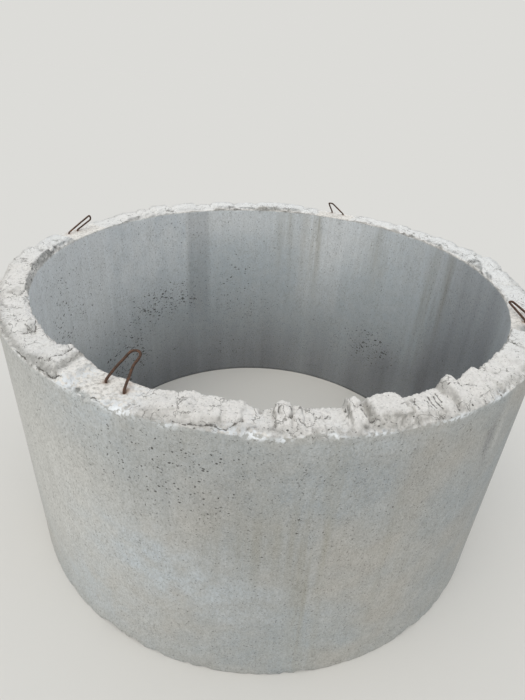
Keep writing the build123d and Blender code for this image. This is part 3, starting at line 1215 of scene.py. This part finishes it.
    def add_toe(self, mesh: bmesh.types.BMesh) -> None:
        """Add the foot of the ring, with its lower face and its chipped arrises.

        Args:
            mesh: the mesh to add to.
        """
        outer, bore = self.outer_radius_mm * MM, self.bore_radius_mm * MM
        arris = self.arris_mm * MM
        corners = (
            [(outer, self.toe_outer_mm * MM), (outer, arris), (outer - arris, 0)],
            [(outer - arris, 0), (bore, 0)],
            [(bore, 0), (bore, self.toe_inner_mm * MM)],
        )
        side, under, inner = (self.evenly(np.array(path), rows) for path, rows in zip(corners, self.toe_rows))
        path = np.concatenate([side, under[1:], inner[1:]])
        angles = np.arange(self.toe_columns) * 360 / self.toe_columns
        sections = np.empty((self.toe_columns, len(path), 2))
        for column, angle in enumerate(angles):
            for row, (radius, height) in enumerate(path):
                sections[column, row] = self.chipped(radius, height, math.radians(angle))
        self.add_band(mesh, angles, sections)

    def chipped(self, radius: float, height: float, turn: float) -> tuple:
        """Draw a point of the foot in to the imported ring's chips and to small breaks of the outer arris.

        Args:
            radius: the point's radius, in metres.
            height: its height in metres.
            turn: its angle in radians.

        Returns:
            Its new radius and its height.
        """
        across = Vector((math.cos(turn), math.sin(turn), 0))
        outer = self.outer_radius_mm * MM
        if radius > outer - 8 * MM and height < 50 * MM:
            start = across * 1.2 + Vector((0, 0, max(height, 0.3 * MM)))
            hit = self.cast_tree.ray_cast(start, -across)[0]
            if hit:
                radius = min(radius, hit.to_2d().length)
            point = Vector((across.x * outer, across.y * outer, height))
            broken = max(0.0, noise.fractal(point * per(self.break_wide_mm), 1.0, 2.0, 4) - 0.05)
            radius -= broken * self.break_mm * MM * max(0.0, 1 - height / (self.break_tall_mm * MM))
        return radius, height

    def join_bands(self, mesh: bmesh.types.BMesh) -> None:
        """Bridge the open ends of neighbouring bands, so that the ring is one closed shell.

        Args:
            mesh: the mesh with the four bands.
        """
        groups = {}
        half_height = CAST_HEIGHT_MM / 2 * MM
        for edge in mesh.edges:
            if not edge.is_boundary:
                continue
            point = edge.verts[0].co
            outside = point.to_2d().length > WALL_MIDDLE_MM * MM
            groups.setdefault((outside, point.z > half_height), []).append(edge)
        for edges in groups.values():
            bmesh.ops.bridge_loops(mesh, edges=edges)

    def paint(self, mesh: bmesh.types.BMesh) -> None:
        """Fill the ring's masks.

        Args:
            mesh: the ring's closed mesh.
        """
        places = np.array([v.co for v in mesh.verts])
        facing_up = np.array([v.normal.z for v in mesh.verts])
        radius = np.hypot(places[:, 0], places[:, 1])
        angle = np.degrees(np.arctan2(places[:, 1], places[:, 0])) % 360
        height = places[:, 2]
        bore = 1 - smooth_step(self.bore_radius_mm * MM, (self.bore_radius_mm + 10) * MM, radius)
        on_crown = height > (CAST_HEIGHT_MM - 20) * MM
        raw = np.zeros(len(places))
        raw[on_crown] = self.rawness(places[on_crown], angle[on_crown], height[on_crown])
        top = smooth_step(CAST_HEIGHT_MM - 5, CAST_HEIGHT_MM - 2, height / MM)
        trowelled = np.clip(top - raw, 0, 1)
        # the broken outer rim, which gets painted shade and more pitting
        broken_rim = smooth_step(806, 830, radius / MM) * np.clip(0.85 + ragged(places, 26), 0, 1) * raw
        blotted = {Mask.PALE_AND_LIT: self.pales_and_lights, Mask.BLOOM: self.blooms, Mask.POWDER: self.powders,
                   Mask.STAIN: self.stains, Mask.DAMP_AND_SHADE: self.damps_and_shades, Mask.PITTING: self.pittings}
        values = {mask: sum(blot.value(angle, height, bore) for blot in blots) for mask, blots in blotted.items()}
        values |= {Mask.BORE: bore, Mask.RAW: raw + trowelled, Mask.TROWELLED: trowelled}
        # painted shade on the crown's steep faces and broken rim
        values[Mask.SLOPE_SHADE] = self.painted_slope_shade(angle, radius / MM, facing_up, broken_rim, on_crown, raw)
        # painted shade and light: the bore gets darker towards the ground and paler towards the sky, as less of
        # the sky reaches its depths
        values[Mask.DAMP_AND_SHADE] += bore * (1.05 * (1 - smooth_step(-60, 700, height / MM)))
        # painted light towards the bore's top
        values[Mask.PALE_AND_LIT] += 0.4 * bore * smooth_step(560, 880, height / MM)
        values[Mask.PITTING] = (values[Mask.PITTING] + 0.12) * (1 - top) + top * (0.3 * raw + 0.15)
        values[Mask.PITTING] += 0.45 * broken_rim
        values[Mask.POWDER] += 0.55 * trowelled * smooth_step(812, 838, radius / MM)
        on_top = smooth_step(CAST_HEIGHT_MM - 14, CAST_HEIGHT_MM - 4, height / MM)
        values[Mask.RUST] = sum(lump.value(angle, radius / MM) for lump in self.rusts) * on_top
        for mask, numbers in values.items():
            layer = self.layers[mask]
            for vert, number in zip(mesh.verts, np.clip(numbers, 0, 1)):
                vert[layer] = float(number)

    def painted_slope_shade(self, angle: np.ndarray, radius_mm: np.ndarray, facing_up: np.ndarray, broken_rim: np.ndarray,
                   on_crown: np.ndarray, raw: np.ndarray) -> np.ndarray:
        """How much painted shade the crown gets: on steep faces, on the broken rim and on the shaded faces.

        Args:
            angle: the points' angles.
            radius_mm: their radii.
            facing_up: 1 on a level face and 0 on an upright one.
            broken_rim: how far they belong to the crown's broken outer edge.
            on_crown: whether they belong to the crown.
            raw: how raw the concrete is.

        Returns:
            The painted slope shade's value at each point.
        """
        # the steeper a face, the more painted shade it gets
        steep = 1 - smooth_step(0.35, 0.85, facing_up)
        lightened = sum(lump.value(angle, radius_mm) for lump in self.shade_lifts)
        grey = np.maximum(steep, 0.8 * broken_rim) * on_crown * (1 - lightened)
        for face in self.shaded_faces:
            near = np.clip(1.6 * (1 - face.distance(angle, radius_mm) / face.width_mm), 0, 1)
            grey = np.maximum(grey, near * raw)
        return grey

    def sink_air_holes(self, mesh: bmesh.types.BMesh) -> None:
        """Sink the larger air holes into the walls, where the pitting mask is high.

        Args:
            mesh: the painted ring.
        """
        pitting, cavity_shade, bore = (self.layers[mask] for mask in (Mask.PITTING, Mask.CAVITY_SHADE, Mask.BORE))
        least, most = (self.toe_outer_mm + 8) * MM, (self.crown_foot_mm - 8) * MM
        chosen = []
        for face in mesh.faces:
            if len(face.verts) != 4 or face.calc_area() < self.hole_area:
                continue
            if not least < face.calc_center_median().z < most:
                continue
            density = min(1.0, sum(v[pitting] for v in face.verts) / 4)
            share = self.hole_share_bore if sum(v[bore] for v in face.verts) > 2 else self.hole_share_outer
            if self.chance.random() < self.hole_stray_share + share * density**1.5:
                chosen.append(face)
        places = [face.calc_center_median() for face in chosen]
        normals = [face.normal.copy() for face in chosen]
        bmesh.ops.inset_individual(mesh, faces=chosen, thickness=self.hole_rim_mm * MM)
        sizes = []
        for face, middle, outward in zip(chosen, places, normals):
            sizes.append(self.round_off(face, middle, outward))
        bmesh.ops.inset_individual(mesh, faces=chosen, thickness=self.hole_lip_mm * MM)
        for face, outward, size in zip(chosen, normals, sizes):
            depth = size * self.chance.uniform(0.7, 1.4)
            for vert in face.verts:
                vert.co -= outward * depth
                # painted shade on the hole's floor
                vert[cavity_shade] = 1.0
        LOG.info("%d air holes sunk", len(chosen))

    def round_off(self, face: bmesh.types.BMFace, middle: Vector, outward: Vector) -> float:
        """Turn a square face of the wall into the uneven mouth of a hole.

        Args:
            face: the face.
            middle: the middle of the face that it was cut from.
            outward: that face's normal.

        Returns:
            The hole's half height, in metres.
        """
        level = Vector((0, 0, 1)).cross(outward).normalized()
        room_across, room_up = (room * MM for room in self.hole_room_mm)
        least, more = self.hole_height_mm
        size = (least + more * self.chance.random() ** 2) * MM
        inside = middle.dot(outward) < 0
        stretch = self.chance.uniform(1.4, 2.2) if inside else self.chance.uniform(0.8, 1.5)
        wide = min(size * stretch, self.hole_widest_mm * MM)
        middle = middle + level * (self.chance.uniform(-1, 1) * (room_across - wide))
        middle.z += self.chance.uniform(-1, 1) * (room_up - size)
        for edge in face.edges[:]:
            bmesh.utils.edge_split(edge, edge.verts[0], 0.5)
        for vert in face.verts:
            spoke = vert.co - middle
            turn = math.atan2(spoke.z, spoke.dot(level))
            uneven = self.chance.uniform(0.75, 1.2)
            vert.co = middle + level * (math.cos(turn) * wide * uneven)
            vert.co.z += math.sin(turn) * size * uneven
        for edge in face.edges:
            edge.smooth = False
        return size


@dataclass(frozen=True)
class Hairpin:
    """One lifting loop. Its feet and tip are (angle, distance outwards from the wall's middle).

    Args:
        node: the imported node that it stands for.
        first_foot: where its first leg leaves the concrete.
        second_foot: where its second leg leaves it.
        tip: the middle of its bend, for a loop that is bent evenly.
        tip_rise_mm: the tip's height above the cast level.
        tip_width_mm: the width of its bend.
        bow_mm: how far the first leg bows outwards.
        bends: for a loop that is bent unevenly, the points of its line between its feet instead, each as
            (angle, distance outwards, rise).
    """

    node: str
    first_foot: tuple
    second_foot: tuple
    tip: tuple = ()
    tip_rise_mm: float = 0.0
    tip_width_mm: float = 0.0
    bow_mm: float = 0.0
    bends: tuple = ()


@dataclass
class LiftingLoops:
    """The four hairpins of round bar that are cast into the wall."""

    bar_mm: float = 6.4
    buried_mm: float = 219.0
    foot_rise_mm: float = 4.25
    knee_mm: float = 9.0  # how near its foot a leg is straight again
    curve_steps: int = 7
    section_steps: int = 3
    loops: tuple = (
        Hairpin("lifting_loop_front_left", (243.9, -18), (248.2, -7), bends=(
            (244.2, -33, 16.6), (244.6, -49, 29.6), (245.1, -61, 39.5), (245.5, -74, 50.5), (246.1, -80, 56.8),
            (247.1, -82, 58.6), (248.0, -77, 57.2), (248.0, -68, 50.0), (247.6, -53.6, 38.3),
            (247.8, -41.8, 29.7), (247.9, -27.4, 19.0),
        )),
        Hairpin("lifting_loop_back_left", (162.7, 20), (159.6, 16), (155, 4), 40, 22, 1.0),
        Hairpin("lifting_loop_back_right", (71.1, 30), (67.2, 20), (70.8, -40), 60, 20, 1.0),
        Hairpin("lifting_loop_right", (341.3, 19), (340.2, -6), (346.6, -45), 21, 13, 0.5),
    )

    def build(self, material: bpy.types.Material) -> list:
        """Bend each loop's bar and dress it.

        Args:
            material: the bar's material.

        Returns:
            Pairs of a loop's node name and its finished piece.
        """
        pieces = []
        for loop in self.loops:
            data = self.bent_bar(loop)
            data.materials.append(material)
            pieces.append((loop.node, add_object(f"rusted_{loop.node}", data)))
        return pieces

    @staticmethod
    def place(angle: float, offset_mm: float, rise_mm: float) -> Vector:
        """A point at an angle, a distance from the wall's middle and a rise above the cast level."""
        turn = math.radians(angle)
        radius = (WALL_MIDDLE_MM + offset_mm) * MM
        return Vector((radius * math.cos(turn), radius * math.sin(turn), (CAST_HEIGHT_MM + rise_mm) * MM))

    def route(self, loop: Hairpin) -> list:
        """Lay out a loop's centre line, from one buried end to the other.

        Args:
            loop: the loop.

        Returns:
            The line's control points.
        """
        first = self.place(*loop.first_foot, self.foot_rise_mm)
        second = self.place(*loop.second_foot, self.foot_rise_mm)
        buried, knee = DOWN * (self.buried_mm * MM), self.knee_mm * MM
        if loop.bends:
            line = [self.place(*bend) for bend in loop.bends]
        else:
            tip = self.place(*loop.tip, loop.tip_rise_mm)
            lean = (tip - (first + second) / 2).normalized()
            spread = second - first
            across = (spread - lean * spread.dot(lean)).normalized() * (loop.tip_width_mm * MM)
            corners = (tip - across / 2, tip + across / 2)
            rising, falling = corners[0] - first, corners[1] - second
            bow = across.normalized() * (loop.bow_mm * MM)
            line = [
                first + rising.normalized() * knee, first + rising * 0.55 - bow, first + rising * 0.86 - bow / 2,
                *corners,
                second + falling * 0.82, second + falling * 0.5, second + falling.normalized() * knee,
            ]
        return [first + buried, first + DOWN * knee, first, *line, second, second + DOWN * knee, second + buried]

    def bent_bar(self, loop: Hairpin) -> bpy.types.Mesh:
        """Sweep the bar's round section along a smooth line through its bends.

        Args:
            loop: the loop.

        Returns:
            The bar's mesh.
        """
        curve = bpy.data.curves.new(loop.node, "CURVE")
        curve.dimensions = "3D"
        curve.bevel_depth = self.bar_mm / 2 * MM
        curve.bevel_resolution = self.section_steps
        curve.use_fill_caps = True
        points = self.route(loop)
        spline = curve.splines.new("NURBS")
        spline.points.add(len(points) - 1)
        for slot, point in zip(spline.points, points):
            slot.co = (*point, 1.0)
        spline.order_u = 3
        spline.use_endpoint_u = True
        spline.resolution_u = self.curve_steps
        holder = add_object(f"{loop.node}_line", curve)
        data = bpy.data.meshes.new_from_object(holder)
        bpy.data.objects.remove(holder)
        for polygon in data.polygons:
            polygon.use_smooth = len(polygon.vertices) == 4
        return data


@dataclass
class Studio:
    """A pale floor, soft light and the camera at the photograph's viewing angle."""

    floor_colour: str = "#D8D8D5"
    floor_size: float = 80.0
    sky_colour: str = "#F3F6FA"
    sky_strength: float = 0.8
    sun_colour: str = "#FFF6EA"
    sun_watts: float = 1.18
    sun_width_deg: float = 60.0
    sun_azimuth_deg: float = 248.0
    sun_height_deg: float = 61.0
    sun_distance: float = 6.0
    eye: tuple = (0.0, -1.56533, 1.50496)
    yaw_deg: float = -0.5152
    pitch_deg: float = -30.9105
    roll_deg: float = 3.5257
    focal_px: float = 493.778
    frame_height_px: float = 700.0
    sensor_mm: float = 36.0
    sight: tuple = (0.05, 200)  # the nearest and the farthest that the camera sees, in metres

    def build(self) -> None:
        """Set up the floor, the sun, the world and the camera."""
        self.add_floor()
        self.add_sun()
        self.add_world()
        self.add_camera()
        bpy.context.scene.view_settings.view_transform = "Standard"

    def add_floor(self) -> None:
        """Lay the floor."""
        mesh = bmesh.new()
        bmesh.ops.create_grid(mesh, x_segments=1, y_segments=1, size=self.floor_size / 2)
        material, tree = start_material("pale_floor")
        end_material(tree, {"Base Color": linear(self.floor_colour), "Roughness": 1.0, "Specular IOR Level": 0.0})
        floor = add_mesh("studio_floor", mesh, material)

    def add_sun(self) -> None:
        """Hang the soft sun, high on the front left."""
        data = bpy.data.lights.new("soft_sun", "SUN")
        data.energy = self.sun_watts
        data.angle = math.radians(self.sun_width_deg)
        data.color = linear(self.sun_colour)[:3]
        sun = add_object("soft_sun", data)
        turn, rise = math.radians(self.sun_azimuth_deg), math.radians(self.sun_height_deg)
        towards = Vector((math.cos(turn) * math.cos(rise), math.sin(turn) * math.cos(rise), math.sin(rise)))
        place = towards * self.sun_distance
        sun.location = place
        sun.rotation_euler = (-place).to_track_quat("-Z", "Y").to_euler()

    def lit_floor(self) -> tuple:
        """The open floor's colour as lit, which the backdrop takes so that the floor shows no end."""
        floor, sky, sun = (linear(c) for c in (self.floor_colour, self.sky_colour, self.sun_colour))
        direct = self.sun_watts / math.pi * math.sin(math.radians(self.sun_height_deg))
        return (*(f * (s * self.sky_strength + d * direct) for f, s, d in zip(floor[:3], sky, sun)), 1.0)

    def add_world(self) -> None:
        """Light the scene softly from everywhere, behind a plain backdrop."""
        world = bpy.data.worlds.new("soft_sky")
        world.use_nodes = True
        tree = world.node_tree
        tree.nodes.clear()
        light = add_node(tree, "ShaderNodeBackground", {
            "Color": linear(self.sky_colour), "Strength": self.sky_strength,
        })
        backdrop = add_node(tree, "ShaderNodeBackground", {"Color": self.lit_floor(), "Strength": 1.0})
        rays = add_node(tree, "ShaderNodeLightPath").outputs
        seeing = rays["Is Camera Ray"]
        for kind in ("Is Glossy Ray", "Is Transmission Ray"):
            seeing = add_node(tree, "ShaderNodeMath", {0: seeing, 1: rays[kind]}, operation="MAXIMUM").outputs[0]
        mixed = add_node(tree, "ShaderNodeMixShader", {0: seeing, 1: light.outputs[0], 2: backdrop.outputs[0]})
        add_node(tree, "ShaderNodeOutputWorld", {"Surface": mixed.outputs[0]})
        bpy.context.scene.world = world

    def add_camera(self) -> None:
        """Place the camera where the photograph was taken from."""
        data = bpy.data.cameras.new("photo_camera")
        data.sensor_fit = "VERTICAL"
        data.sensor_height = self.sensor_mm
        data.lens = self.focal_px / self.frame_height_px * self.sensor_mm
        data.clip_start, data.clip_end = self.sight
        camera = add_object("photo_camera", data)
        yaw, pitch, roll = (math.radians(a) for a in (self.yaw_deg, self.pitch_deg, self.roll_deg))
        forward = Vector((math.sin(yaw) * math.cos(pitch), math.cos(yaw) * math.cos(pitch), math.sin(pitch)))
        level = Vector((math.cos(yaw), -math.sin(yaw), 0))
        upward = level.cross(forward)
        right = level * math.cos(roll) + upward * math.sin(roll)
        above = upward * math.cos(roll) - level * math.sin(roll)
        matrix = Matrix((right, above, -forward)).transposed().to_4x4()
        matrix.translation = Vector(self.eye)
        camera.matrix_world = matrix
        bpy.context.scene.camera = camera


def main() -> None:
    """Load the frame, build and dress each piece, and set up the studio."""
    logging.basicConfig(level=logging.INFO, format="%(name)s: %(message)s")
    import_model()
    concrete, bar = Concrete().material(), RustedBar().material()
    ring = CastRing().build(concrete)
    pieces = [("concrete_ring", "concrete", ring)]
    pieces += [(node, "rusty_steel", loop) for node, loop in LiftingLoops().build(bar)]
    for node, slot, piece in pieces:
        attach(piece, "root")
        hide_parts(node)
        triangles = sum(len(polygon.vertices) - 2 for polygon in piece.data.polygons)
        LOG.info("built %s: %d triangles", piece.name, triangles)
    Studio().build()


if __name__ == "__main__":
    main()
